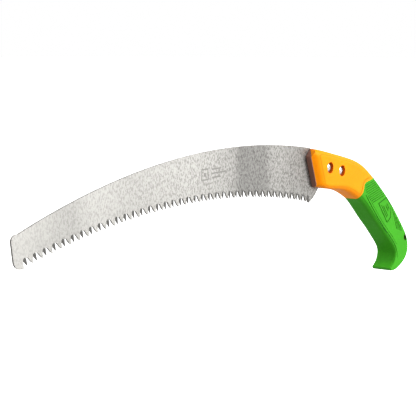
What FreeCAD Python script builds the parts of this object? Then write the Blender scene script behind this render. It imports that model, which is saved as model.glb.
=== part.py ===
"""Curved pull-stroke pruning saw with a two-colour pistol grip.

Frame: millimetres, +Z up. The saw lies in the XZ plane with its teeth down. X runs from the
toe of the blade (-X) to the back of the grip (+X) along the chord of the tooth line. Y is
the thickness. The origin is the centre of the hang hole, on the blade's middle plane.
"""
import FreeCAD
import Part

import math
import os

import Sketcher

Vector = FreeCAD.Vector
PARTS_FOLDER = "parts"

# Driving dimensions: alias, value, meaning.
DIMENSIONS = [
    ("blade_thickness", 1.2, "sheet thickness of the blade"),
    ("tooth_pitch", 4.0, "tip to tip along the tooth line"),
    ("tooth_count", 78, "number of teeth"),
    ("tooth_depth", 5.0, "tip to gullet"),
    ("tooth_arc_radius", 693.2, "radius of the line through the tooth tips"),
    ("tooth_arc_x", -301.8, "centre of the tooth line arc"),
    ("tooth_arc_z", -628.2, "centre of the tooth line arc"),
    ("tooth_first_angle", -12.51, "angle of the first tip, from vertical"),
    ("facet_width", 1.75, "width of the bevel ground on each tooth edge"),
    ("toe_x", -461.3, "front end of the blade"),
    ("toe_top_z", 65.1, "top of the toe end"),
    ("toe_corner", 3.2, "corner radius at the top of the toe"),
    ("back_mid_x", -293.8, "middle station on the blade's back"),
    ("back_mid_z", 97.6, "middle station on the blade's back"),
    ("back_end_x", -144.6, "where the back meets the handle"),
    ("back_end_z", 89.1, "where the back meets the handle"),
    ("heel_x", -131.6, "rear of the heel"),
    ("heel_z", 57.9, "rear of the heel"),
    ("tang_end_x", -99.0, "rear end of the tang"),
    ("screw_hole_radius", 2.1, "hole for a screw, in the blade, core and shell"),
    ("screw_radius", 2.0, "screw shank"),
    ("front_screw_x", -128.4, "front screw axis"),
    ("front_screw_z", 72.8, "front screw axis"),
    ("rear_screw_x", -110.1, "rear screw axis"),
    ("rear_screw_z", 68.6, "rear screw axis"),
    ("seat_half", 6.2, "middle plane to the seat under a screw head or a nut"),
    ("head_radius", 3.75, "screw head"),
    ("head_height", 2.0, "screw head, at the top of its dome"),
    ("head_rim", 0.7, "cylindrical rim under the dome"),
    ("drive_flats", 2.5, "hexagonal drive recess in the head, across flats"),
    ("drive_depth", 1.2, "drive recess"),
    ("recess_radius", 4.35, "counterbore in the shell"),
    ("nut_flats", 7.0, "hexagonal nut, across flats"),
    ("nut_height", 2.4, "nut"),
    ("skin", 2.6, "wall of the shell and of the sleeve over the core"),
    ("slot_clearance", 0.05, "gap on each side of the blade in the core and shell"),
    ("collar_reach", 0.5, "how far the collar stands in front of the shell"),
    ("neck_half", 3.4, "half thickness of the core behind the collar"),
    ("collar_block", 320.0, "length of the block that gives the collar its front outline"),
    ("hang_hole_radius", 2.4, "bore of the eye tube"),
    ("eye_tube_radius", 3.2, "outside of the eye tube"),
    ("eye_tube_length", 15.2, "eye tube, end to end"),
    ("rib_count", 10, "moulded rib grooves on each side of the sleeve"),
    ("rib_pitch", 1.95, "spacing of the rib grooves"),
    ("rib_width", 0.75, "width of a rib groove"),
    ("rib_slope", 0.18, "rise of the rib grooves towards the back"),
    ("rib_first_z", 52.6, "first rib groove, at the foot of the seam"),
    ("groove_floor", 8.6, "middle plane to the floor of the sleeve's grooves"),
    ("lip_floor", 8.8, "middle plane to the floor of the shell's lip groove"),
]

# Cross-sections of the handle, from the front end round to the tip of the hook:
# x and z of the finger side, tilt in degrees, depth, half thickness, and the corner radii
# of the finger side and of the back.
SECTIONS = [
    (-142.9, 59.0, 111.4, 33.0, 3.9, 2.4, 3.7),
    (-139.9, 58.9, 111.4, 32.8, 5.6, 3.0, 5.2),
    (-137.2, 58.6, 111.3, 32.7, 7.6, 3.4, 6.4),
    (-133.3, 57.6, 110.4, 33.0, 8.9, 3.8, 6.4),
    (-121.8, 55.3, 104.0, 31.0, 9.2, 4.4, 5.6),
    (-106.8, 52.8, 94.1, 27.8, 9.2, 5.0, 5.2),
    (-93.8, 48.8, 75.0, 27.1, 9.2, 5.4, 5.6),
    (-82.3, 43.6, 63.0, 27.5, 9.2, 5.4, 6.0),
    (-71.8, 37.2, 51.5, 27.3, 9.2, 4.8, 6.2),
    (-59.8, 27.2, 47.9, 28.3, 9.1, 4.0, 6.2),
    (-45.8, 15.8, 42.1, 28.3, 9.0, 3.4, 6.0),
    (-33.8, 5.6, 33.1, 27.5, 9.0, 3.0, 5.6),
    (-24.6, -2.4, 26.2, 26.5, 9.1, 2.6, 5.2),
    (-19.4, -8.4, 18.7, 26.2, 9.2, 2.4, 4.8),
    (-18.5, -13.2, 7.7, 26.1, 9.2, 2.2, 4.4),
    (-20.0, -17.2, -4.0, 21.8, 9.2, 2.0, 3.8),
    (-23.3, -20.6, -15.5, 13.5, 9.1, 1.6, 2.6),
    (-27.2, -23.2, -39.6, 3.8, 8.8, 1.0, 1.2),
]
SECTION_FIELDS = ("x", "z", "tilt", "depth", "half", "front_r", "back_r")
CORE_SECTIONS = range(3, 15)

# Front end of the collar in the side view, from below the handle to above it.
FRONT_PROFILE = [
    (-140.0, 54.1),
    (-141.1, 57.9),
    (-141.8, 59.8),
    (-150.6, 83.2),
    (-141.0, 92.1),
]

# Outline of the collar seen from the toe, as y, z points: it runs to a point at the top.
COLLAR_FACE = [
    (-12.0, 50.0),
    (-12.0, 83.2),
    (-5.6, 83.2),
    (0.0, 89.6),
    (5.6, 83.2),
    (12.0, 83.2),
    (12.0, 50.0),
]

# Neck of the core under the tapered front of the shell, in the side view.
NECK = [(-142.6, 62.4), (-150.35, 83.0), (-146.2, 85.2), (-137.0, 83.0), (-128.4, 61.5)]

# Tang of the blade behind the handle's front end, from the back down to the heel.
TANG = [
    (-141.6, 84.4),
    (-120.0, 80.4),
    (-102.0, 74.6),
    (-99.0, 71.0),
    (-99.6, 62.0),
    (-103.0, 59.0),
    (-126.5, 60.0),
]

# Seam between the shell and the sleeve, as x, z points in the side view.
SEAM = [
    (-39.0, 60.6),
    (-71.6, 55.2),
    (-74.2, 53.6),
    (-75.0, 50.4),
    (-76.4, 47.6),
    (-79.6, 44.6),
    (-80.4, 40.0),
    (-79.8, 30.0),
]

# Line moulded along the edge between a side of the sleeve and its finger face.
BORDER = [
    (-71.6, 45.0),
    (-68.7, 41.8),
    (-59.0, 31.8),
    (-48.7, 21.8),
    (-37.4, 11.8),
    (-25.3, 1.8),
    (-18.4, -5.4),
    (-15.8, -11.0),
    (-15.2, -15.5),
]

# Frame of the plain panel on each side of the sleeve.
PANEL = [(-35.9, 39.0), (-26.7, 31.2), (-27.8, 20.4), (-34.1, 16.4), (-50.2, 35.4)]

# Line on each side of the shell that sets off the lip beside the seam.
LIP = [
    (-57.0, 60.1),
    (-72.4, 57.5),
    (-76.0, 55.0),
    (-77.2, 51.2),
    (-78.6, 48.8),
    (-83.0, 44.8),
]

doc = FreeCAD.newDocument("pruning_saw")
sheet = doc.addObject("Spreadsheet::Sheet", "dims")


def fill_sheet():
    """Write every driving dimension into the sheet, one aliased cell per value."""
    rows = [(name, value) for name, value, _meaning in DIMENSIONS]
    for number, section in enumerate(SECTIONS):
        for field, value in zip(SECTION_FIELDS, section):
            rows.append(("sec%d_%s" % (number, field), value))
    for row, (name, value) in enumerate(rows, start=1):
        sheet.set("A%d" % row, name)
        sheet.set("B%d" % row, str(value))
        sheet.setAlias("B%d" % row, name)
    for row, (_name, _value, meaning) in enumerate(DIMENSIONS, start=1):
        sheet.set("C%d" % row, meaning)
    doc.recompute()


def dim(name):
    """Return one value of the sheet."""
    return float(sheet.get(name))


def bind(thing, prop, expression):
    """Tie a property to cells of the sheet."""
    thing.setExpression(prop, expression)


def new_body(label):
    """Add an empty body."""
    body = doc.addObject("PartDesign::Body", label)
    body.Label = label
    return body


def new_sketch(body, name, plane):
    """Add a sketch on one of the body's own origin planes."""
    sketch = body.newObject("Sketcher::SketchObject", name)
    for feature in body.Origin.OriginFeatures:
        if feature.Role == plane:
            sketch.AttachmentSupport = [(feature, "")]
    sketch.MapMode = "FlatFace"
    return sketch


def name_constraint(sketch, index, name, expression):
    """Name a constraint of a sketch and tie it to the sheet."""
    sketch.renameConstraint(index, name)
    bind(sketch, "Constraints." + name, expression)


def flat(x, z):
    """Return a side-view point in the coordinates of a sketch on the XZ plane."""
    return Vector(x, z, 0)


def close_chain(sketch):
    """Join the sketch's edges, which follow one another, end to end."""
    count = sketch.GeometryCount
    for index in range(count):
        following = (index + 1) % count
        for end in (2, 1):
            for start in (1, 2):
                gap = sketch.getPoint(index, end) - sketch.getPoint(following, start)
                if gap.Length < 1e-6:
                    sketch.addConstraint(
                        Sketcher.Constraint("Coincident", index, end, following, start))


def add_polygon(sketch, points):
    """Draw a closed chain of lines through (x, z) points."""
    corners = [flat(x, z) for x, z in points]
    for start, end in zip(corners, corners[1:] + corners[:1]):
        sketch.addGeometry(Part.LineSegment(start, end), False)
    close_chain(sketch)


def add_circle(sketch, radius, x, z, radius_cell, x_cell, z_cell):
    """Draw a circle whose radius and centre follow the sheet."""
    index = sketch.addGeometry(Part.Circle(Vector(x, z, 0), Vector(0, 0, 1), radius), False)
    tag = "c%d" % index
    number = sketch.addConstraint(Sketcher.Constraint("Radius", index, radius))
    name_constraint(sketch, number, tag + "_r", radius_cell)
    number = sketch.addConstraint(Sketcher.Constraint("DistanceX", -1, 1, index, 3, x))
    name_constraint(sketch, number, tag + "_x", x_cell)
    number = sketch.addConstraint(Sketcher.Constraint("DistanceY", -1, 1, index, 3, z))
    name_constraint(sketch, number, tag + "_z", z_cell)
    return index


def pad(body, name, sketch, length_expression):
    """Pad a sketch evenly to both sides of the middle plane."""
    feature = body.newObject("PartDesign::Pad", name)
    feature.Profile = sketch
    feature.Midplane = True
    bind(feature, "Length", length_expression)
    return feature


def pocket(body, name, sketch, length_expression):
    """Pocket a sketch evenly to both sides of the middle plane."""
    feature = body.newObject("PartDesign::Pocket", name)
    feature.Profile = sketch
    feature.Midplane = True
    bind(feature, "Length", length_expression)
    return feature


# ---------------------------------------------------------------- handle form

def section_sketch(body, number, inset):
    """Draw one rounded cross-section of the handle.

    The sketch's x axis runs from the finger side to the back, its y axis is the thickness.
    The inset, in millimetres, shrinks the section all round.
    """
    cell = "dims.sec%d_" % number
    x, z, tilt, depth, half, front_r, back_r = SECTIONS[number]
    sketch = new_sketch(body, "%s_section_%d" % (body.Label, number), "XY_Plane")
    turn = FreeCAD.Rotation(Vector(0, -1, 0), abs(tilt))
    sketch.AttachmentOffset = FreeCAD.Placement(Vector(x, 0, z), turn)
    bind(sketch, "AttachmentOffset.Base.x", cell + "x")
    bind(sketch, "AttachmentOffset.Base.z", cell + "z")
    bind(sketch, "AttachmentOffset.Rotation.Angle", cell + "tilt * 1 deg")

    left = inset
    right = depth - inset
    side = half - inset
    front_r = max(front_r - inset, 0.6)
    back_r = max(back_r - inset, 0.6)
    line = Part.LineSegment
    normal = Vector(0, 0, 1)

    def arc(centre_x, centre_y, radius, start, end):
        circle = Part.Circle(Vector(centre_x, centre_y, 0), normal, radius)
        return Part.ArcOfCircle(circle, math.radians(start), math.radians(end))

    sketch.addGeometry([
        line(Vector(left + front_r, -side, 0), Vector(right - back_r, -side, 0)),
        arc(right - back_r, -side + back_r, back_r, 270, 360),
        line(Vector(right, -side + back_r, 0), Vector(right, side - back_r, 0)),
        arc(right - back_r, side - back_r, back_r, 0, 90),
        line(Vector(right - back_r, side, 0), Vector(left + front_r, side, 0)),
        arc(left + front_r, side - front_r, front_r, 90, 180),
        line(Vector(left, side - front_r, 0), Vector(left, -side + front_r, 0)),
        arc(left + front_r, -side + front_r, front_r, 180, 270),
    ], False)
    joints = [
        (0, 2, 1, 1), (1, 2, 2, 1), (2, 2, 3, 1), (3, 2, 4, 1),
        (4, 2, 5, 1), (5, 2, 6, 1), (6, 2, 7, 1), (7, 2, 0, 1),
    ]
    for first, first_end, second, second_end in joints:
        sketch.addConstraint(
            Sketcher.Constraint("Tangent", first, first_end, second, second_end))
    sketch.addConstraint(Sketcher.Constraint("Horizontal", 0))
    sketch.addConstraint(Sketcher.Constraint("Horizontal", 4))
    sketch.addConstraint(Sketcher.Constraint("Vertical", 2))
    sketch.addConstraint(Sketcher.Constraint("Equal", 1, 3))
    sketch.addConstraint(Sketcher.Constraint("Equal", 5, 7))
    tags = [
        ("DistanceX", (-1, 1, 6, 1, left), "front", "%g mm" % inset),
        ("DistanceX", (-1, 1, 2, 1, right), "back", cell + "depth * 1 mm - %g mm" % inset),
        ("DistanceY", (0, 1, -1, 1, side), "near", cell + "half * 1 mm - %g mm" % inset),
        ("DistanceY", (-1, 1, 4, 1, side), "far", cell + "half * 1 mm - %g mm" % inset),
        ("Radius", (1, back_r), "back_r",
         "max(" + cell + "back_r - %g; 0.6) * 1 mm" % inset),
        ("Radius", (7, front_r), "front_r",
         "max(" + cell + "front_r - %g; 0.6) * 1 mm" % inset),
    ]
    for kind, arguments, name, expression in tags:
        number_of = sketch.addConstraint(Sketcher.Constraint(kind, *arguments))
        name_constraint(sketch, number_of, name, expression)
    return sketch


def handle_body(label, numbers, inset):
    """Loft the handle through its sections, shrunk by the inset."""
    body = new_body(label)
    sketches = [section_sketch(body, number, inset) for number in numbers]
    loft = body.newObject("PartDesign::AdditiveLoft", label + "_loft")
    loft.Profile = sketches[0]
    loft.Sections = sketches[1:]
    loft.Ruled = False
    return body


# -------------------------------------------------------------------- blade

def tooth_points(number):
    """Return the side-view corners of one tooth: rear gullet, shoulder, tip, front gullet."""
    pitch = dim("tooth_pitch")
    depth = dim("tooth_depth")
    radius = dim("tooth_arc_radius")
    angle = math.radians(dim("tooth_first_angle")) + number * pitch / radius
    along = flat(math.cos(angle), -math.sin(angle))
    inward = flat(math.sin(angle), math.cos(angle))
    tip = flat(dim("tooth_arc_x"), dim("tooth_arc_z")) + inward * radius
    lean = 0.05 * pitch
    behind = tip + along * (lean - pitch) + inward * depth
    shoulder = tip - along * 0.95 + inward * 0.55
    ahead = tip + along * lean + inward * depth
    return behind, shoulder, tip, ahead


def blade_outline():
    """Return the blade's outline as edges: teeth, heel, tang, back and toe."""
    points = list(tooth_points(0)[2:])
    for number in range(1, int(dim("tooth_count"))):
        points += tooth_points(number)[1:]
    points.pop()
    edges = [Part.LineSegment(a, b) for a, b in zip(points, points[1:])]

    heel = flat(dim("heel_x"), dim("heel_z"))
    edges.append(Part.Arc(points[-1], heel + flat(-6.6, -6.3), heel))

    back_end = flat(dim("back_end_x"), dim("back_end_z"))
    tang = [heel] + [flat(x, z) for x, z in reversed(TANG)] + [back_end]
    edges += [Part.LineSegment(a, b) for a, b in zip(tang, tang[1:])]

    corner = dim("toe_corner")
    toe = flat(dim("toe_x"), dim("toe_top_z"))
    toe_top = toe + flat(1.5 * corner, corner)
    edges.append(Part.Arc(back_end, flat(dim("back_mid_x"), dim("back_mid_z")), toe_top))
    toe_side = toe + flat(0, -0.5)
    edges.append(Part.Arc(toe_top, toe + flat(0.3 * corner, 0.6 * corner), toe_side))
    toe_low = toe + flat(1.3, -11.9)
    edges.append(Part.LineSegment(toe_side, toe_low))
    edges.append(Part.Arc(toe_low, toe_low + flat(1.6, -3.2), points[0]))
    return edges


def make_blade_blank():
    """Pad the blade's outline and drill the tang."""
    body = new_body("blade_blank")
    sketch = new_sketch(body, "blade_outline", "XZ_Plane")
    sketch.addGeometry(blade_outline(), False)
    close_chain(sketch)
    pad(body, "blade_pad", sketch, "dims.blade_thickness")

    holes = new_sketch(body, "screw_holes", "XZ_Plane")
    for name in ("front_screw", "rear_screw"):
        add_circle(holes, dim("screw_hole_radius"), dim(name + "_x"), dim(name + "_z"),
                   "dims.screw_hole_radius", "dims.%s_x" % name, "dims.%s_z" % name)
    pocket(body, "blade_holes", holes, "dims.blade_thickness * 4")
    return body


def facet_wedge(start, end, width, side):
    """Return the wedge ground off one tooth edge, which runs from start to end.

    The material lies on the left of that run. The facet leaves the edge sharp on one face of
    the blade and comes in by the width on the other, which is -Y for a side of -1.
    """
    half = dim("blade_thickness") / 2
    run = (end - start).normalize()
    inward = flat(-run.y, run.x)
    profile = [(0.0, -side * half), (1.1 * width, 1.2 * side * half), (0.0, 1.2 * side * half)]
    corners = []
    for distance, y in profile:
        point = start + inward * distance
        corners.append(Vector(point.x, y, point.y))
    face = Part.Face(Part.makePolygon(corners + corners[:1]))
    travel = end - start
    return face.extrude(Vector(travel.x, 0, travel.y))


def make_facets():
    """Collect the wedges that sharpen every tooth, on alternate faces of the blade."""
    width = dim("facet_width")
    wedges = []
    for number in range(int(dim("tooth_count"))):
        behind, shoulder, tip, ahead = tooth_points(number)
        side = -1 if number % 2 else 1
        if number:
            wedges.append(facet_wedge(behind, shoulder, width, side))
            wedges.append(facet_wedge(shoulder, tip, 0.45 * width, side))
        if number < dim("tooth_count") - 1:
            wedges.append(facet_wedge(tip, ahead, width, side))
    facets = doc.addObject("Part::Feature", "tooth_facets")
    facets.Shape = Part.makeCompound(wedges)
    return facets


# ------------------------------------------------------------------- handle

def side_region(label, points):
    """Return a wide slab with the given side view, used to divide the handle form."""
    body = new_body(label)
    sketch = new_sketch(body, label + "_outline", "XZ_Plane")
    add_polygon(sketch, points)
    feature = body.newObject("PartDesign::Pad", label + "_pad")
    feature.Profile = sketch
    feature.Midplane = True
    feature.Length = 60.0
    return body


def cross_cylinder(label, radius_cell, x_cell=None, z_cell=None, length_cell=None):
    """Return a cylinder across the handle, evenly to both sides of the middle plane."""
    cylinder = doc.addObject("Part::Cylinder", label)
    cylinder.Placement = FreeCAD.Placement(
        Vector(0, 0, 0), FreeCAD.Rotation(Vector(1, 0, 0), 90))
    bind(cylinder, "Radius", radius_cell)
    length = length_cell or "60"
    bind(cylinder, "Height", length)
    bind(cylinder, "Placement.Base.y", length + " / 2")
    if x_cell:
        bind(cylinder, "Placement.Base.x", x_cell)
        bind(cylinder, "Placement.Base.z", z_cell)
    return cylinder


def counterbore(label, screw, side):
    """Return the cylinder that clears a screw head or a nut, from its seat outwards."""
    cylinder = doc.addObject("Part::Cylinder", label)
    turn = FreeCAD.Rotation(Vector(1, 0, 0), 90 if side < 0 else -90)
    cylinder.Placement = FreeCAD.Placement(Vector(0, 0, 0), turn)
    cylinder.Height = 10.0
    bind(cylinder, "Radius", "dims.recess_radius")
    bind(cylinder, "Placement.Base.x", "dims.%s_x" % screw)
    bind(cylinder, "Placement.Base.y", "%d * dims.seat_half" % side)
    bind(cylinder, "Placement.Base.z", "dims.%s_z" % screw)
    return cylinder


def fuse(label, shapes):
    """Join solids."""
    feature = doc.addObject("Part::MultiFuse", label)
    feature.Shapes = shapes
    feature.Refine = False
    return feature


def common(label, first, second):
    """Keep what two solids share."""
    feature = doc.addObject("Part::MultiCommon", label)
    feature.Shapes = [first, second]
    return feature


def cut(label, base, tool):
    """Cut one solid by another."""
    feature = doc.addObject("Part::Cut", label)
    feature.Label = label
    feature.Base = base
    feature.Tool = tool
    return feature


def blade_slot():
    """Return the space that the blade takes in the core and the shell."""
    body = new_body("blade_slot")
    sketch = new_sketch(body, "slot_outline", "XZ_Plane")
    heel_x, heel_z = dim("heel_x"), dim("heel_z")
    add_polygon(sketch, [(-160.0, 95.0), (-141.4, 95.0), (-141.4, 84.5)] + [
        (x + 0.1, z + 0.1) for x, z in TANG[1:4]] + [
        (x + 0.1, z - 0.1) for x, z in TANG[4:]] + [
        (heel_x + 0.1, heel_z + 0.05), (heel_x + 0.1, 40.0), (-160.0, 40.0)])
    pad(body, "slot_pad", sketch, "dims.blade_thickness + 2 * dims.slot_clearance")
    return body


def offset_line(points, distance):
    """Shift an open line of points sideways, to the left of its run."""
    shifted = []
    last = len(points) - 1
    for index in range(len(points)):
        before, after = points[max(index - 1, 0)], points[min(index + 1, last)]
        run = flat(after[0] - before[0], after[1] - before[1]).normalize()
        shifted.append((points[index][0] - run.y * distance,
                        points[index][1] + run.x * distance))
    return shifted


def strip(points, width):
    """Return the outline of a line drawn with a width."""
    return offset_line(points, width / 2) + offset_line(points, -width / 2)[::-1]


def shrink(points, distance):
    """Return a closed, clockwise outline moved inwards."""
    moved = []
    count = len(points)
    for index in range(count):
        point = flat(*points[index])
        before = (point - flat(*points[index - 1])).normalize()
        after = (flat(*points[(index + 1) % count]) - point).normalize()
        inward = flat(before.y + after.y, -before.x - after.x).normalize()
        reach = distance / (inward.x * before.y - inward.y * before.x)
        corner = point + inward * reach
        moved.append((corner.x, corner.y))
    return moved


def rib_lines():
    """Return the two ends of every rib groove, from the border line to the back."""
    slope = dim("rib_slope")
    lines = []
    for number in range(int(dim("rib_count"))):
        base = dim("rib_first_z") - number * dim("rib_pitch")
        start = max(-72.2, -66.6 - base + 41.8)
        end = start
        for _ in range(20):
            height = base + slope * (end + 71.6)
            end = -54.8 + (58.6 - height) / 0.743 - 7.5
        lines.append([(start, base + slope * (start + 71.6)),
                      (end, base + slope * (end + 71.6))])
    return lines


def back_rib_lines():
    """Return the two ends of every short rib groove beside the lower back."""
    lines = []
    for number in range(5):
        x, z = -24.6 + 3.55 * number, 27.5 - 3.7 * number
        foot = 9.0 - 0.7 * number
        lines.append([(x, z), (x + 0.435 * (z - foot), foot)])
    return lines


def panel_marks():
    """Return the plain bars inside the panel, along its long side."""
    low, high = flat(*PANEL[3]), flat(*PANEL[4])
    run = (high - low).normalize()
    inward = flat(run.y, -run.x)
    bars = []
    for distance, start, end in ((3.0, 4.0, 19.5), (5.0, 4.0, 16.5), (8.0, 6.5, 13.5),
                                 (10.2, 6.5, 13.5)):
        first = low + run * start + inward * distance
        second = low + run * end + inward * distance
        bars.append([(first.x, first.y), (second.x, second.y)])
    return bars


def grooves(label, outlines, floor_cell):
    """Return the material that side-view outlines take out of both sides of the handle."""
    body = new_body(label + "_drawn")
    sketch = new_sketch(body, label + "_outlines", "XZ_Plane")
    for outline in outlines:
        corners = [flat(x, z) for x, z in outline]
        for start, end in zip(corners, corners[1:] + corners[:1]):
            sketch.addGeometry(Part.LineSegment(start, end), False)
    pad(body, label + "_pad", sketch, "30 mm")
    middle = doc.addObject("Part::Box", label + "_middle")
    middle.Length = 200.0
    middle.Height = 200.0
    middle.Placement = FreeCAD.Placement(Vector(-150, 0, -80), FreeCAD.Rotation())
    bind(middle, "Width", "dims.%s * 2" % floor_cell)
    bind(middle, "Placement.Base.y", "-dims.%s" % floor_cell)
    return cut(label, body, middle)


def sleeve_grooves():
    """Return the grooves of the sleeve: ribs, border lines, panel frame and bars."""
    width = dim("rib_width")
    outlines = [strip(line, width) for line in rib_lines() + back_rib_lines()]
    outlines.append(strip(BORDER, 0.85))
    outlines.append(strip(offset_line(BORDER[1:-2], 2.2), 0.45))
    outlines += [PANEL, shrink(PANEL, 1.0)]
    outlines += [strip(line, 0.8) for line in panel_marks()]
    return grooves("sleeve_grooves", outlines, "groove_floor")


def make_handle():
    """Divide the lofted handle into its core, its shell and its sleeve."""
    form = handle_body("handle_form", range(len(SECTIONS)), 0.0)
    core_form = handle_body("core_form", CORE_SECTIONS, dim("skin"))
    reach = dim("collar_reach")
    shell_front = [(x + reach, z) for x, z in FRONT_PROFILE]

    neck = new_body("core_neck")
    neck_sketch = new_sketch(neck, "neck_outline", "XZ_Plane")
    add_polygon(neck_sketch, NECK)
    pad(neck, "neck_pad", neck_sketch, "dims.neck_half * 2")

    collar_region = side_region("collar_region", FRONT_PROFILE + shell_front[::-1])
    collar_ring = common("collar_ring", form, collar_region)
    block = new_body("collar_block")
    block_sketch = new_sketch(block, "collar_outline", "YZ_Plane")
    add_polygon(block_sketch, COLLAR_FACE)
    pad(block, "collar_pad", block_sketch, "dims.collar_block")
    collar = common("collar", collar_ring, block)
    eye = cross_cylinder("eye_tube", "dims.eye_tube_radius",
                         length_cell="dims.eye_tube_length")
    blank = fuse("core_blank", [core_form, neck, collar, eye])

    slot = blade_slot()
    holes = [cross_cylinder("hole_" + name, "dims.screw_hole_radius",
                            "dims.%s_x" % name, "dims.%s_z" % name)
             for name in ("front_screw", "rear_screw")]
    seats = [counterbore("seat_%s_%d" % (name, side + 1), name, side)
             for name in ("front_screw", "rear_screw") for side in (-1, 1)]
    hang_hole = cross_cylinder("hang_hole", "dims.hang_hole_radius")
    core_tools = fuse("core_tools", [slot, hang_hole] + holes + seats)
    core = cut("handle_core", blank, core_tools)

    low, high = (SEAM[-1][0], 20.0), (SEAM[0][0], 110.0)
    shell_region = side_region(
        "shell_region", [(-120.0, 20.0)] + shell_front[:-1] + FRONT_PROFILE[-2:]
        + [(-120.0, 110.0), high] + SEAM + [low])
    shell_whole = common("shell_whole", form, shell_region)
    lip = grooves("lip_groove", [strip(LIP, 0.7)], "lip_floor")
    shell_tools = fuse("shell_tools", [blank, slot, lip] + holes + seats)
    shell = cut("front_shell", shell_whole, shell_tools)

    sleeve_region = side_region(
        "sleeve_region", [low] + SEAM[::-1] + [high, (60.0, 110.0), (60.0, -60.0), (-60.0, -60.0)])
    sleeve_whole = common("sleeve_whole", form, sleeve_region)
    eye_clearance = cross_cylinder("eye_clearance", "dims.eye_tube_radius")
    sleeve_tools = fuse("sleeve_tools", [core_form, eye_clearance, sleeve_grooves()])
    sleeve = cut("grip_sleeve", sleeve_whole, sleeve_tools)
    return [core, shell, sleeve]


# ---------------------------------------------------------------- fasteners

def make_screw(label):
    """Revolve a domed screw, head towards -Y, and cut its hexagonal drive."""
    body = new_body(label)
    sketch = new_sketch(body, label + "_profile", "XZ_Plane")
    seat, shank = dim("seat_half"), dim("screw_radius")
    head, rim, top = dim("head_radius"), dim("head_rim"), dim("head_height")
    end = -(seat + dim("nut_height") + 0.2)
    corners = [flat(0, end), flat(shank - 0.3, end), flat(shank, end + 0.3),
               flat(shank, seat), flat(head, seat), flat(head, seat + rim)]
    for start, finish in zip(corners, corners[1:]):
        sketch.addGeometry(Part.LineSegment(start, finish), False)
    apex = flat(0, seat + top)
    shoulder = flat(0.62 * head, seat + rim + 0.78 * (top - rim))
    sketch.addGeometry(Part.Arc(corners[-1], shoulder, apex), False)
    sketch.addGeometry(Part.LineSegment(apex, corners[0]), False)
    close_chain(sketch)
    turned = body.newObject("PartDesign::Revolution", label + "_turned")
    turned.Profile = sketch
    turned.ReferenceAxis = (sketch, ["V_Axis"])
    turned.Angle = 360.0

    drive = new_sketch(body, label + "_drive", "XY_Plane")
    drive.AttachmentOffset = FreeCAD.Placement(
        Vector(0, 0, seat + top), FreeCAD.Rotation())
    add_polygon(drive, hexagon(dim("drive_flats")))
    socket = body.newObject("PartDesign::Pocket", label + "_socket")
    socket.Profile = drive
    bind(socket, "Length", "dims.drive_depth")
    return place_across(body, label)


def hexagon(flats):
    """Return the corners of a hexagon of the given width across flats."""
    radius = flats / math.sqrt(3)
    angles = [math.radians(60 * i + 15) for i in range(6)]
    return [(radius * math.cos(a), radius * math.sin(a)) for a in angles]


def make_nut(label, screw):
    """Pad a hexagonal nut on the far side, with turned corners."""
    body = new_body(label)
    sketch = new_sketch(body, label + "_outline", "XY_Plane")
    outer = -dim("seat_half") - dim("nut_height")
    sketch.AttachmentOffset = FreeCAD.Placement(Vector(0, 0, outer), FreeCAD.Rotation())
    add_polygon(sketch, hexagon(dim("nut_flats")))
    radius = dim("screw_radius")
    bore = sketch.addGeometry(Part.Circle(flat(0, 0), Vector(0, 0, 1), radius), False)
    number = sketch.addConstraint(Sketcher.Constraint("Radius", bore, radius))
    name_constraint(sketch, number, "bore", "dims.screw_radius")
    block = body.newObject("PartDesign::Pad", label + "_block")
    block.Profile = sketch
    bind(block, "Length", "dims.nut_height")

    corner = dim("nut_flats") / math.sqrt(3)
    chamfer = new_sketch(body, label + "_chamfer", "XZ_Plane")
    add_polygon(chamfer, [
        (corner - 0.7, outer - 0.1), (corner + 0.3, outer - 0.1), (corner + 0.3, outer + 0.55)])
    turned = body.newObject("PartDesign::Groove", label + "_turned")
    turned.Profile = chamfer
    turned.ReferenceAxis = (chamfer, ["V_Axis"])
    turned.Angle = 360.0
    return place_across(body, screw)


def place_across(body, screw):
    """Turn a fastener so that its axis lies along Y, at a screw's position."""
    body.Placement = FreeCAD.Placement(
        Vector(0, 0, 0), FreeCAD.Rotation(Vector(1, 0, 0), 90))
    bind(body, "Placement.Base.x", "dims.%s_x" % screw)
    bind(body, "Placement.Base.z", "dims.%s_z" % screw)
    return body


# ------------------------------------------------------------------ assembly

def check(nodes):
    """Stop if any object failed, or a sub-part is empty, invalid or in pieces."""
    for thing in doc.Objects:
        if "Invalid" in thing.State or "Error" in thing.State:
            raise RuntimeError("%s failed: %s" % (thing.Name, thing.State))
    for node in nodes:
        shape = node.Shape
        if shape.isNull() or not shape.isValid() or not shape.Solids:
            raise RuntimeError("%s has no valid solid" % node.Label)
        if len(shape.Solids) != 1:
            raise RuntimeError("%s is in %d pieces" % (node.Label, len(shape.Solids)))


def main():
    """Build every sub-part and write one STEP file for each."""
    fill_sheet()
    nodes = [cut("saw_blade", make_blade_blank(), make_facets())]
    nodes += make_handle()
    nodes += [make_screw("front_screw"), make_screw("rear_screw")]
    nodes += [make_nut("front_nut", "front_screw"), make_nut("rear_nut", "rear_screw")]
    doc.recompute()
    check(nodes)
    os.makedirs(PARTS_FOLDER, exist_ok=True)
    for node in nodes:
        node.Shape.exportStep(os.path.join(PARTS_FOLDER, node.Label + ".step"))
        print("%-12s %9.1f mm3  %s" % (node.Label, node.Shape.Volume, node.Shape.BoundBox))


main()
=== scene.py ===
"""Looks of a curved pruning saw, built around its CAD parts and laid out as an add-on."""

import bpy
from bpy.props import FloatProperty, FloatVectorProperty, PointerProperty
from mathutils import Matrix, Vector

bl_info = {
    "name": "Pruning Saw",
    "version": (1, 0, 0),
    "blender": (4, 5, 0),
    "location": "3D View > Sidebar > Pruning Saw",
    "description": "Finishes for a curved pruning saw with a two-colour pistol grip",
    "category": "Object",
}

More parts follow.
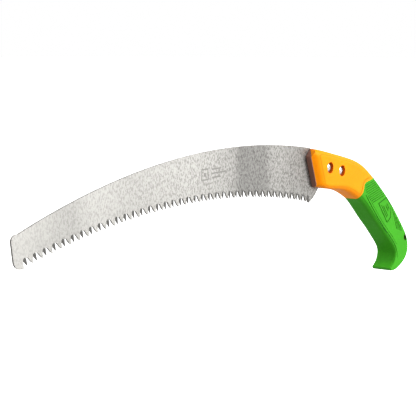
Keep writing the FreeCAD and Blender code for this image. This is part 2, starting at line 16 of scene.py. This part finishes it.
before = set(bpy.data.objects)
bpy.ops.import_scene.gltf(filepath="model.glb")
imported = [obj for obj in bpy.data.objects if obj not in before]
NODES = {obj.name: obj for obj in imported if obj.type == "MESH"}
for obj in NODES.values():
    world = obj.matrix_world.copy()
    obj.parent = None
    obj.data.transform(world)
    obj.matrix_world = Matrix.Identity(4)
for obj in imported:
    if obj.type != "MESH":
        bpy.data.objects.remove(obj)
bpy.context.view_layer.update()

# Places and sizes on the saw, in metres. A place is x and z in the side view.
SCREW_AXES = [(-0.1284, 0.0728), (-0.1101, 0.0686)]
COUNTERBORE_REACH = 0.00436
HANG_HOLE_AXIS = (0.0, 0.0)
EYE_REACH = 0.0034
SLEEVE_GROOVE_HALF = 0.0086
SHELL_GROOVE_HALF = 0.0088
TOE_X = -0.455
COLLAR_X = -0.150

# Painted reflection: brightness bands of the mirrored surroundings on the steel, from the toe
# (0) to the collar (1).
BLADE_PAINTED_REFLECTION = [(0.0, 0.53), (0.14, 0.43), (0.21, 0.51), (0.30, 0.47), (0.52, 0.51),
               (0.60, 0.48), (0.66, 0.43), (0.71, 0.265), (0.80, 0.285), (0.865, 0.42),
               (0.93, 0.36), (1.0, 0.34)]

# Etched mark: a square frame with a filled core, then bars as centre x, centre z, width.
MARK_PLACE = (-0.2800, 0.0830)
MARK_FRAME = 0.0082
MARK_INSIDE = 0.0062
MARK_CORE = 0.0026
MARK_BARS = [(-0.2665, 0.0858, 0.0110), (-0.2635, 0.0830, 0.0170), (-0.2675, 0.0802, 0.0090)]
BAR_HEIGHT = 0.0011
NEAR_FACE_Y = -0.0005

# Studio, in metres. Each light has its place, what it faces and its size.
FLOOR_SIZE = 40.0
FLOOR_LEVEL = -0.45
LIGHTS = {
    "key_light": ((0.8, -1.75, 0.95), (-0.2, 0.0, 0.05), 1.4),
    "back_light": ((-0.3, 1.9, 0.9), (-0.2, 0.0, 0.05), 1.4),
    "side_card": ((1.0, -1.05, 0.05), (-0.3, 0.0, 0.07), 1.3),
}
CAMERA_PLACE = (-0.9229, -0.4698, 0.1797)
CAMERA_RIGHT = (0.586, -0.810, -0.013)
CAMERA_FORWARD = (0.800, 0.581, -0.148)
CAMERA_LENS = 103.85
SENSOR_WIDTH = 36.0


def colour(name, text, default):
    """Return a colour property with an alpha."""
    return FloatVectorProperty(
        name=name, description=text, subtype="COLOR", size=4, min=0.0, max=1.0, default=default)


def share(name, text, default, low=0.0, high=1.0):
    """Return a plain factor property."""
    return FloatProperty(
        name=name, description=text, subtype="FACTOR", min=low, max=high, default=default)


def length(name, text, default):
    """Return a length property, in metres."""
    return FloatProperty(
        name=name, description=text, subtype="DISTANCE", unit="LENGTH", min=0.0,
        precision=5, default=default)


def scaled(tone, factor, lift=0.0):
    """Return a colour made lighter or darker."""
    return [min(1.0, factor * part + lift) for part in tone[:3]] + [1.0]


# -------------------------------------------------------------------- settings

class BladeSettings(bpy.types.PropertyGroup):
    """Finish of the steel blade."""

    steel: colour("Steel", "Rolled sheet steel", (0.86, 0.845, 0.80, 1.0))
    fleck: colour("Flecks", "Darker flecks of the rolled surface", (0.30, 0.285, 0.265, 1.0))
    cut_edge: colour("Cut edge", "Blanked rim of the sheet", (0.085, 0.082, 0.075, 1.0))
    ground: colour("Ground", "Ground bevels of the teeth", (0.34, 0.335, 0.32, 1.0))
    mark: colour("Etched mark", "Plain etched mark", (0.15, 0.145, 0.135, 1.0))
    roughness: share("Roughness", "Of the rolled surface", 0.44)


class HandleSettings(bpy.types.PropertyGroup):
    """Finishes of the handle's mouldings."""

    shell: colour("Shell", "Yellow-orange hard shell", (0.95, 0.275, 0.002, 1.0))
    shell_worn: colour("Shell rubbed", "Where the shell's edges are rubbed",
                       (1.0, 0.36, 0.02, 1.0))
    grip: colour("Grip", "Green soft grip", (0.043, 0.305, 0.012, 1.0))
    # Painted shade: a dark green laid on the groove floors where shade falls in the grooves.
    grip_groove_shade: colour("Grip grooves", "Floors of the grooves", (0.004, 0.060, 0.003, 1.0))
    core: colour("Core", "Dark rigid core", (0.270, 0.132, 0.098, 1.0))
    edge_radius: length("Edge radius", "Small radius on every moulded edge", 0.00035)
    grain_size: length("Grain size", "Spacing of the moulded grain", 0.0007)


class FastenerSettings(bpy.types.PropertyGroup):
    """Finish of the screws and nuts."""

    zinc: colour("Zinc", "Bright zinc plating", (0.62, 0.61, 0.59, 1.0))
    # This tone stands for dirt and for painted shade deep in the recesses.
    soil_and_shade: colour("Soil", "Dirt held in the drive and round the rim", (0.09, 0.055, 0.035, 1.0))


class StageSettings(bpy.types.PropertyGroup):
    """Studio around the saw."""

    backdrop: colour("Backdrop", "Floor and background", (1.0, 1.0, 1.0, 1.0))
    fill: FloatProperty(
        name="Fill", description="Strength of the light from all round", default=1.0, min=0.0)
    key_power: FloatProperty(
        name="Key light", description="Power of the soft box in front", default=80.0,
        min=0.0, unit="POWER")
    back_power: FloatProperty(
        name="Back light", description="Power of the soft box behind", default=46.0,
        min=0.0, unit="POWER")
    side_power: FloatProperty(
        name="Side light", description="Power of the card that the blade mirrors",
        default=3.0, min=0.0, unit="POWER")


# ------------------------------------------------------------------ node tools

class Tree:
    """Short ways to place and link shader nodes in one tree."""

    def __init__(self, tree):
        self.nodes = tree.nodes
        self.links = tree.links

    def add(self, kind, **settings):
        """Place a node and set its plain settings."""
        node = self.nodes.new("ShaderNode" + kind)
        for name, value in settings.items():
            setattr(node, name, value)
        return node

    def plug(self, socket, value):
        """Link an output to a socket, or set the socket's own value."""
        if isinstance(value, bpy.types.NodeSocket):
            self.links.new(value, socket)
        else:
            socket.default_value = value

    def math(self, operation, *values, clamp=False):
        """Return the output of a Math node."""
        node = self.add("Math", operation=operation, use_clamp=clamp)
        for socket, value in zip(node.inputs, values):
            self.plug(socket, value)
        return node.outputs[0]

    def mix(self, factor, first, second, blend="MIX"):
        """Return a mix of two colours."""
        node = self.add("Mix", data_type="RGBA", blend_type=blend)
        self.plug(node.inputs["Factor"], factor)
        self.plug(node.inputs[6], first)
        self.plug(node.inputs[7], second)
        return node.outputs[2]

    def mix_number(self, factor, first, second):
        """Return a mix of two numbers."""
        node = self.add("Mix", data_type="FLOAT")
        for socket, value in zip(node.inputs[:1] + node.inputs[2:4], (factor, first, second)):
            self.plug(socket, value)
        return node.outputs[0]

    def spread(self, value, low, high, start=0.0, end=1.0, shape="SMOOTHSTEP"):
        """Map a range onto another, smoothly by default."""
        node = self.add("MapRange", interpolation_type=shape)
        for socket, number in zip(node.inputs, (value, low, high, start, end)):
            self.plug(socket, number)
        return node.outputs[0]

    def noise(self, vector, scale, detail=4.0, roughness=0.6):
        """Return the value of a noise pattern."""
        node = self.add("TexNoise")
        self.plug(node.inputs["Vector"], vector)
        self.plug(node.inputs["Scale"], scale)
        node.inputs["Detail"].default_value = detail
        node.inputs["Roughness"].default_value = roughness
        return node.outputs["Fac"]

    def place(self, vector, turn=(0.0, 0.0, 0.0), scale=(1.0, 1.0, 1.0)):
        """Turn and stretch a pattern."""
        node = self.add("Mapping")
        self.plug(node.inputs["Vector"], vector)
        node.inputs["Rotation"].default_value = turn
        node.inputs["Scale"].default_value = scale
        return node.outputs[0]

    def local(self):
        """Return the piece's own coordinates, in metres."""
        return self.add("TexCoord").outputs["Object"]

    def split(self, vector):
        """Return the x, y and z of a vector."""
        node = self.add("SeparateXYZ")
        self.plug(node.inputs[0], vector)
        return node.outputs

    def bump(self, height, distance, normal=None, strength=1.0):
        """Return a normal bumped by a height."""
        node = self.add("Bump")
        node.inputs["Strength"].default_value = strength
        node.inputs["Distance"].default_value = distance
        self.plug(node.inputs["Height"], height)
        if normal is not None:
            self.plug(node.inputs["Normal"], normal)
        return node.outputs[0]

    def group(self, tree, **values):
        """Place a node group with its own values."""
        node = self.add("Group")
        node.node_tree = tree
        for name, value in values.items():
            self.plug(node.inputs[name.replace("_", " ").capitalize()], value)
        return node.outputs


def new_material(name):
    """Return a fresh material, its node tools and its Principled shader."""
    material = bpy.data.materials.new(name)
    material.use_nodes = True
    return material, Tree(material.node_tree), material.node_tree.nodes["Principled BSDF"]


def new_group(name, inputs, outputs):
    """Return a node group's tools, its inputs and its output node."""
    tree = bpy.data.node_groups.new(name, "ShaderNodeTree")
    for label, kind, default in inputs:
        socket = tree.interface.new_socket(label, in_out="INPUT", socket_type=kind)
        if default is not None:
            socket.default_value = default
    for label, kind in outputs:
        tree.interface.new_socket(label, in_out="OUTPUT", socket_type=kind)
    tools = Tree(tree)
    return tree, tools, tools.nodes.new("NodeGroupInput"), tools.nodes.new("NodeGroupOutput")


def fetch(name, builder):
    """Return a shared node group, built on first use."""
    return bpy.data.node_groups.get(name) or builder()


def rounded_edges():
    """Return the group that rounds moulded edges and masks where they are."""
    tree, tools, given, out = new_group(
        "rounded_edges", [("Radius", "NodeSocketFloat", 0.0004)],
        [("Normal", "NodeSocketVector"), ("Edge", "NodeSocketFloat")])
    bevel = tools.add("Bevel", samples=6)
    tools.plug(bevel.inputs["Radius"], given.outputs["Radius"])
    true = tools.add("NewGeometry").outputs["Normal"]
    facing = tools.add("VectorMath", operation="DOT_PRODUCT")
    tools.plug(facing.inputs[0], bevel.outputs[0])
    tools.plug(facing.inputs[1], true)
    edge = tools.math("SUBTRACT", 1.0, facing.outputs["Value"])
    tools.plug(out.inputs["Normal"], bevel.outputs[0])
    tools.plug(out.inputs["Edge"], tools.spread(edge, 0.01, 0.12))
    return tree


def moulded_grain():
    """Return the group for the fine grain and slight unevenness of a moulding."""
    tree, tools, given, out = new_group(
        "moulded_grain",
        [("Vector", "NodeSocketVector", None), ("Size", "NodeSocketFloat", 0.0008)],
        [("Height", "NodeSocketFloat"), ("Shade", "NodeSocketFloat"),
         ("Cloud", "NodeSocketFloat")])
    place = given.outputs["Vector"]
    scale = tools.math("DIVIDE", 1.0, given.outputs["Size"])
    fine = tools.noise(place, scale, 3.0, 0.65)
    coarse = tools.noise(place, tools.math("MULTIPLY", scale, 0.22), 3.0, 0.55)
    height = tools.math("ADD", tools.math("MULTIPLY", fine, 0.65),
                        tools.math("MULTIPLY", coarse, 0.35))
    tools.plug(out.inputs["Height"], height)
    tools.plug(out.inputs["Shade"], tools.spread(height, 0.32, 0.68))
    tools.plug(out.inputs["Cloud"], tools.spread(tools.noise(place, 38.0, 3.0, 0.5), 0.3, 0.7))
    return tree


def light_scuffs():
    """Return the group for sparse, short scuffs from use and storage."""
    tree, tools, given, out = new_group(
        "light_scuffs",
        [("Vector", "NodeSocketVector", None), ("Amount", "NodeSocketFloat", 0.5)],
        [("Mask", "NodeSocketFloat")])
    layers = []
    for turn, size in ((0.5, 210.0), (-0.7, 260.0)):
        long = tools.place(given.outputs["Vector"], (0.0, turn, 0.3), (0.08, 1.0, 1.6))
        streak = tools.noise(long, size * 3.0, 2.0, 0.4)
        layers.append(tools.spread(streak, 0.66, 0.74))
    patch = tools.spread(tools.noise(given.outputs["Vector"], 60.0, 2.0), 0.5, 0.62)
    scuffs = tools.math("MAXIMUM", *layers)
    mask = tools.math("MULTIPLY", tools.math("MULTIPLY", scuffs, patch),
                      given.outputs["Amount"], clamp=True)
    tools.plug(out.inputs["Mask"], mask)
    return tree


def box_mark():
    """Return the group that masks a plain upright box in the side view."""
    tree, tools, given, out = new_group(
        "box_mark",
        [("Vector", "NodeSocketVector", None), ("X", "NodeSocketFloat", 0.0),
         ("Z", "NodeSocketFloat", 0.0), ("Wide", "NodeSocketFloat", 0.001),
         ("High", "NodeSocketFloat", 0.001)],
        [("Mask", "NodeSocketFloat")])
    parts = tools.split(given.outputs["Vector"])
    inside = []
    for axis, centre, size in ((0, "X", "Wide"), (2, "Z", "High")):
        off = tools.math("ABSOLUTE", tools.math("SUBTRACT", parts[axis], given.outputs[centre]))
        rest = tools.math("SUBTRACT", tools.math("MULTIPLY", given.outputs[size], 0.5), off)
        inside.append(tools.math("MULTIPLY", rest, 12000.0, clamp=True))
    tools.plug(out.inputs["Mask"], tools.math("MULTIPLY", *inside))
    return tree


def assign(node_names, material):
    """Give CAD nodes a material."""
    for name in node_names:
        slots = NODES[name].data.materials
        slots.clear()
        slots.append(material)


# ------------------------------------------------------------------- materials

def etched_shapes(tools, place):
    """Return the mask of the blade's plain mark: a framed square and three bars."""
    def box(centre_x, centre_z, wide, high):
        return tools.group(fetch("box_mark", box_mark), vector=place, x=centre_x, z=centre_z,
                           wide=wide, high=high)[0]

    frame_mask, inside, core = [
        box(*MARK_PLACE, size, size) for size in (MARK_FRAME, MARK_INSIDE, MARK_CORE)]
    shapes = tools.math("ADD", tools.math("SUBTRACT", frame_mask, inside), core)
    for centre_x, centre_z, wide in MARK_BARS:
        shapes = tools.math("ADD", shapes, box(centre_x, centre_z, wide, BAR_HEIGHT))
    return shapes


def rolled_steel(settings):
    """Return the blade's steel: rolled faces, blanked rim, ground teeth, etched mark, painted
    reflection bands.
    """
    material, tools, shader = new_material("rolled_steel")
    place = tools.local()
    x, y, z = tools.split(place)

    streaks = tools.place(place, (0.0, -0.32, 0.0), (1.0, 0.35, 0.60))
    fleck = tools.noise(streaks, 820.0, 3.0, 0.68)
    fine = tools.noise(place, 1500.0, 3.0, 0.7)
    cloud = tools.noise(tools.place(place, (0, 0, 0), (1.0, 0.3, 0.55)), 55.0, 3.0, 0.55)

    # Painted reflection: a ramp of brightness bands along the blade stands in for the
    # surroundings mirrored in the steel.
    ramp = tools.add("ValToRGB")
    ramp.color_ramp.interpolation = "EASE"
    elements = ramp.color_ramp.elements
    for index, (spot, painted_reflection_level) in enumerate(BLADE_PAINTED_REFLECTION):
        element = elements[index] if index < 2 else elements.new(spot)
        element.position = spot
        element.color = (painted_reflection_level, painted_reflection_level, painted_reflection_level, 1.0)
    straight = tools.spread(x, TOE_X, COLLAR_X, shape="LINEAR")
    wander = tools.math("ADD", straight,
                        tools.math("MULTIPLY", tools.math("SUBTRACT", cloud, 0.5), 0.10))
    tools.plug(ramp.inputs[0], wander)
    painted_reflection_level = ramp.outputs["Color"]

    along = tools.spread(x, TOE_X, COLLAR_X)
    heavy = tools.math("ADD", 0.34, tools.math("MULTIPLY", along, 0.56))
    flecks = tools.math("MULTIPLY", tools.spread(fleck, 0.45, 0.60), heavy)
    base = tools.mix(flecks, settings.steel, settings.fleck)
    base = tools.mix(tools.spread(fine, 0.36, 0.60, 0.20, 0.0), base, settings.fleck)
    # Multiply in the painted reflection bands.
    base = tools.mix(1.0, base, painted_reflection_level, "MULTIPLY")

    near = tools.math("LESS_THAN", y, NEAR_FACE_Y)
    etched = tools.math("MULTIPLY", etched_shapes(tools, place), near, clamp=True)
    worn = tools.math("MULTIPLY", etched, tools.spread(fleck, 0.30, 0.62, 0.95, 0.55))
    base = tools.mix(worn, base, settings.mark)

    normal = tools.add("NewGeometry").outputs["True Normal"]
    across = tools.math("ABSOLUTE", tools.split(normal)[1])
    rim = tools.spread(across, 0.25, 0.5, 1.0, 0.0)
    facet = tools.math("MULTIPLY", tools.spread(across, 0.5, 0.6),
                       tools.spread(across, 0.93, 0.985, 1.0, 0.0))
    lines = tools.noise(tools.place(place, (0.0, 0.25, 0.0), (1.0, 1.0, 0.08)), 5200.0, 2.0)
    base = tools.mix(facet, base, tools.mix(tools.spread(lines, 0.35, 0.65),
                                            settings.ground, settings.cut_edge))
    base = tools.mix(rim, base, tools.mix(tools.spread(fine, 0.4, 0.6),
                                          settings.cut_edge, settings.fleck))

    scuffs = tools.group(fetch("light_scuffs", light_scuffs), vector=place, amount=0.5)[0]
    tools.plug(shader.inputs["Base Color"], base)
    shader.inputs["Metallic"].default_value = 0.85
    rough = tools.math("ADD", settings.roughness,
                       tools.math("MULTIPLY", tools.math("SUBTRACT", fleck, 0.5), 0.35))
    rough = tools.math("SUBTRACT", rough, tools.math("MULTIPLY", scuffs, 0.12))
    tools.plug(shader.inputs["Roughness"], tools.mix_number(facet, rough, 0.3))
    height = tools.math("ADD", tools.math("MULTIPLY", fleck, 0.7),
                        tools.math("MULTIPLY", fine, 0.3))
    tools.plug(shader.inputs["Normal"], tools.bump(height, 0.00012, strength=0.6))
    return material


def near_axis(tools, place, axis, reach):
    """Return a mask of what lies within reach of an axis across the handle."""
    x, _y, z = tools.split(place)
    off_x = tools.math("SUBTRACT", x, axis[0])
    off_z = tools.math("SUBTRACT", z, axis[1])
    squared = tools.math("ADD", tools.math("MULTIPLY", off_x, off_x),
                         tools.math("MULTIPLY", off_z, off_z))
    away = tools.math("SQRT", squared)
    return tools.spread(away, reach - 0.00004, reach + 0.00006, 1.0, 0.0)


def rib_share(tools, x, z):
    """Return a mask of the sleeve's ribbed areas, below the seam and at the lower back."""
    upper = tools.spread(z, 0.0400, 0.0410)
    slanted = tools.math("ADD", x, tools.math("MULTIPLY", z, 0.435))
    return tools.math("MAXIMUM", upper, tools.spread(slanted, -0.0132, -0.0130))


def groove_floor_shade(tools, place, half):
    """Return a mask of painted shade on the groove floors at a half thickness, weaker in the
    ribs.
    """
    x, y, z = tools.split(place)
    depth = tools.math("SUBTRACT", tools.math("ABSOLUTE", y), half)
    floor = tools.spread(tools.math("ABSOLUTE", depth), 0.00004, 0.00012, 1.0, 0.0)
    strength = tools.spread(rib_share(tools, x, z), 0.0, 1.0, 0.9, 0.6)
    return tools.math("MULTIPLY", floor, strength)


def moulding(name, base, worn, settings, gloss, grain_depth, grooves=None, shaded_recesses=()):
    """Return a moulded plastic with grain, rubbed edges, scuffs and painted shade in grooves
    and recesses.

    Grooves are the half thickness at their floors and the tone of painted shade there. Each
    recess is an axis, how far its painted shade reaches and the shade's tone.
    """
    material, tools, shader = new_material(name)
    place = tools.local()
    grain = tools.group(fetch("moulded_grain", moulded_grain), vector=place,
                        size=settings.grain_size)
    edges = tools.group(fetch("rounded_edges", rounded_edges), radius=settings.edge_radius)
    scuffs = tools.group(fetch("light_scuffs", light_scuffs), vector=place, amount=0.6)[0]

    shade = tools.mix(tools.math("MULTIPLY", grain["Cloud"], 0.34), base, scaled(base, 0.74))
    shade = tools.mix(tools.math("MULTIPLY", grain["Shade"], 0.30), shade,
                      scaled(base, 0.60))
    rubbed = tools.math("MULTIPLY", edges["Edge"],
                        tools.spread(grain["Height"], 0.35, 0.6, 0.15, 0.55))
    shade = tools.mix(rubbed, shade, worn)
    shade = tools.mix(tools.math("MULTIPLY", scuffs, 0.35), shade, worn)
    if grooves:
        half, tone = grooves
        # Painted shade on the groove floors.
        shade = tools.mix(groove_floor_shade(tools, place, half), shade, tone)
    for axis, reach, tone in shaded_recesses:
        # Painted shade inside each recess.
        inside = tools.math("MULTIPLY", 0.85, near_axis(tools, place, axis, reach))
        shade = tools.mix(inside, shade, tone)
    tools.plug(shader.inputs["Base Color"], shade)
    rough = tools.math("ADD", gloss, tools.math("MULTIPLY", grain["Shade"], 0.10))
    rough = tools.math("ADD", rough, tools.math("MULTIPLY", scuffs, 0.15))
    tools.plug(shader.inputs["Roughness"], rough)
    shader.inputs["Specular IOR Level"].default_value = 0.04
    tools.plug(shader.inputs["Normal"],
               tools.bump(grain["Height"], grain_depth, edges["Normal"]))
    return material


def bright_zinc(settings):
    """Return the plated finish of the screws and nuts, with dirt and painted shade where they
    sit deep in the recesses.
    """
    material, tools, shader = new_material("bright_zinc")
    place = tools.local()
    edges = tools.group(fetch("rounded_edges", rounded_edges), radius=0.0002)
    turned = tools.noise(tools.place(place, (0, 0, 0), (1.0, 0.2, 1.0)), 1400.0, 3.0)
    dirt = tools.noise(place, 700.0, 4.0)
    y = tools.math("ABSOLUTE", tools.split(place)[1])
    # Painted shade mixed with dirt: darker where the screws and nuts sit deepest in their
    # recesses, broken up by noise.
    low = tools.math("MULTIPLY", tools.spread(y, 0.0066, 0.0079, 1.0, 0.0),
                     tools.spread(dirt, 0.35, 0.6))
    base = tools.mix(tools.spread(turned, 0.3, 0.7, 0.0, 0.3), settings.zinc,
                     (0.5, 0.48, 0.45, 1.0))
    tools.plug(shader.inputs["Base Color"], tools.mix(low, base, settings.soil_and_shade))
    shader.inputs["Metallic"].default_value = 0.9
    tools.plug(shader.inputs["Roughness"], tools.spread(turned, 0.3, 0.7, 0.16, 0.30))
    tools.plug(shader.inputs["Normal"], tools.bump(turned, 0.00003, edges["Normal"]))
    return material


# ------------------------------------------------------------------- operators

class SAW_OT_blade(bpy.types.Operator):
    """Give the blade its rolled steel finish"""

    bl_idname = "saw.blade"
    bl_label = "Blade"

    def execute(self, context):
        assign(["saw_blade"], rolled_steel(context.scene.saw_blade))
        return {"FINISHED"}


class SAW_OT_core(bpy.types.Operator):
    """Give the rigid core its dark moulded finish"""

    bl_idname = "saw.core"
    bl_label = "Core"

    def execute(self, context):
        settings = context.scene.saw_handle
        # Painted shade: the wall of the hang hole is made near black where shade falls inside
        # it.
        hang_hole_shade = (HANG_HOLE_AXIS, EYE_REACH, (0.004, 0.003, 0.003, 1.0))
        assign(["handle_core"], moulding(
            "core_plastic", settings.core, scaled(settings.core, 1.5), settings,
            gloss=0.42, grain_depth=0.00006, shaded_recesses=[hang_hole_shade]))
        return {"FINISHED"}


class SAW_OT_shell(bpy.types.Operator):
    """Give the front shell its yellow-orange moulded finish"""

    bl_idname = "saw.shell"
    bl_label = "Front Shell"

    def execute(self, context):
        settings = context.scene.saw_handle
        # Painted shade and orange bounce light on the counterbore walls round the screws.
        counterbore_shade = (0.55, 0.045, 0.002, 1.0)
        assign(["front_shell"], moulding(
            "shell_plastic", settings.shell, settings.shell_worn, settings,
            gloss=0.40, grain_depth=0.00004,
            # Painted shade on the floors of the shell's grooves.
            grooves=(SHELL_GROOVE_HALF, (0.85, 0.13, 0.0, 1.0)),
            shaded_recesses=[(axis, COUNTERBORE_REACH, counterbore_shade) for axis in SCREW_AXES]))
        return {"FINISHED"}


class SAW_OT_grip(bpy.types.Operator):
    """Give the grip sleeve its soft green finish"""

    bl_idname = "saw.grip"
    bl_label = "Grip Sleeve"

    def execute(self, context):
        settings = context.scene.saw_handle
        assign(["grip_sleeve"], moulding(
            "grip_rubber", settings.grip, scaled(settings.grip, 1.5, 0.01), settings,
            gloss=0.46, grain_depth=0.00008,
            # Painted shade on the floors of the grip's grooves.
            grooves=(SLEEVE_GROOVE_HALF, settings.grip_groove_shade)))
        return {"FINISHED"}


class SAW_OT_fasteners(bpy.types.Operator):
    """Give the screws and nuts their bright finish"""

    bl_idname = "saw.fasteners"
    bl_label = "Screws and Nuts"

    def execute(self, context):
        assign(["front_screw", "rear_screw", "front_nut", "rear_nut"],
               bright_zinc(context.scene.saw_fasteners))
        return {"FINISHED"}


def add_area(name, location, target, size, power):
    """Add a square soft box that faces a target."""
    light = bpy.data.lights.new(name, "AREA")
    light.shape = "SQUARE"
    light.size = size
    light.energy = power
    holder = bpy.data.objects.new(name, light)
    bpy.context.scene.collection.objects.link(holder)
    holder.location = location
    aim = Vector(target) - Vector(location)
    holder.rotation_euler = aim.to_track_quat("-Z", "Y").to_euler()


def add_camera():
    """Add the camera, seen from the toe side and a little above."""
    camera = bpy.data.cameras.new("camera")
    camera.sensor_width = SENSOR_WIDTH
    camera.lens = CAMERA_LENS
    camera.clip_end = 100.0
    holder = bpy.data.objects.new("camera", camera)
    bpy.context.scene.collection.objects.link(holder)
    right = Vector(CAMERA_RIGHT).normalized()
    forward = Vector(CAMERA_FORWARD).normalized()
    turn = Matrix((right, right.cross(forward), -forward)).transposed()
    holder.matrix_world = Matrix.LocRotScale(
        Vector(CAMERA_PLACE), turn.to_quaternion(), None)
    return holder


def studio_world(settings):
    """Return the surroundings: white to look at, softer and darker below as light."""
    world = bpy.data.worlds.new("studio")
    world.use_nodes = True
    tools = Tree(world.node_tree)
    tools.nodes.clear()
    x, _y, z = tools.split(tools.add("TexCoord").outputs["Generated"])
    light = tools.add("Background")
    soft = tools.math("MULTIPLY", tools.spread(z, -1.0, 0.9, 1.0, 1.15),
                      tools.spread(x, -1.0, 0.3, 0.75, 1.0))
    tools.plug(light.inputs["Strength"], tools.math("MULTIPLY", soft, settings.fill))
    seen = tools.add("Background")
    seen.inputs["Color"].default_value = settings.backdrop
    both = tools.add("MixShader")
    tools.plug(both.inputs[0], tools.add("LightPath").outputs["Is Camera Ray"])
    tools.plug(both.inputs[1], light.outputs[0])
    tools.plug(both.inputs[2], seen.outputs[0])
    tools.plug(tools.add("OutputWorld").inputs[0], both.outputs[0])
    return world


class SAW_OT_stage(bpy.types.Operator):
    """Set up the floor, the soft light and the camera"""

    bl_idname = "saw.stage"
    bl_label = "Stage"

    def execute(self, context):
        scene = context.scene
        settings = scene.saw_stage
        bpy.ops.object.select_all(action="DESELECT")
        bpy.ops.mesh.primitive_plane_add(size=FLOOR_SIZE, location=(0.0, 0.0, FLOOR_LEVEL))
        floor = context.object
        floor.name = "floor"
        material, _tools, shader = new_material("backdrop")
        shader.inputs["Base Color"].default_value = settings.backdrop
        shader.inputs["Emission Color"].default_value = settings.backdrop
        shader.inputs["Emission Strength"].default_value = 1.0
        floor.data.materials.append(material)
        floor.visible_diffuse = False
        floor.visible_glossy = False
        floor.visible_shadow = False

        scene.world = studio_world(settings)
        scene.view_settings.view_transform = "Standard"
        powers = (settings.key_power, settings.back_power, settings.side_power)
        for (name, (location, target, size)), power in zip(LIGHTS.items(), powers):
            add_area(name, location, target, size, power)
        scene.camera = add_camera()
        return {"FINISHED"}


class SAW_PT_panel(bpy.types.Panel):
    """Sidebar panel with every piece of the saw"""

    bl_idname = "SAW_PT_panel"
    bl_label = "Pruning Saw"
    bl_space_type = "VIEW_3D"
    bl_region_type = "UI"
    bl_category = "Pruning Saw"

    def draw(self, context):
        for operator in OPERATORS:
            self.layout.operator(operator.bl_idname)


OPERATORS = (SAW_OT_blade, SAW_OT_core, SAW_OT_shell, SAW_OT_grip, SAW_OT_fasteners,
             SAW_OT_stage)
SETTINGS = {"saw_blade": BladeSettings, "saw_handle": HandleSettings,
            "saw_fasteners": FastenerSettings, "saw_stage": StageSettings}


def register():
    """Add the settings, operators and panel."""
    for group in SETTINGS.values():
        bpy.utils.register_class(group)
    for operator in OPERATORS:
        bpy.utils.register_class(operator)
    bpy.utils.register_class(SAW_PT_panel)
    for name, group in SETTINGS.items():
        setattr(bpy.types.Scene, name, PointerProperty(type=group))


def unregister():
    """Remove the settings, operators and panel."""
    for name in SETTINGS:
        delattr(bpy.types.Scene, name)
    bpy.utils.unregister_class(SAW_PT_panel)
    for operator in reversed(OPERATORS):
        bpy.utils.unregister_class(operator)
    for group in reversed(list(SETTINGS.values())):
        bpy.utils.unregister_class(group)


def main():
    """Build the saw's looks."""
    register()
    bpy.ops.saw.blade()
    bpy.ops.saw.core()
    bpy.ops.saw.shell()
    bpy.ops.saw.grip()
    bpy.ops.saw.fasteners()
    bpy.ops.saw.stage()


if __name__ == "__main__":
    main()
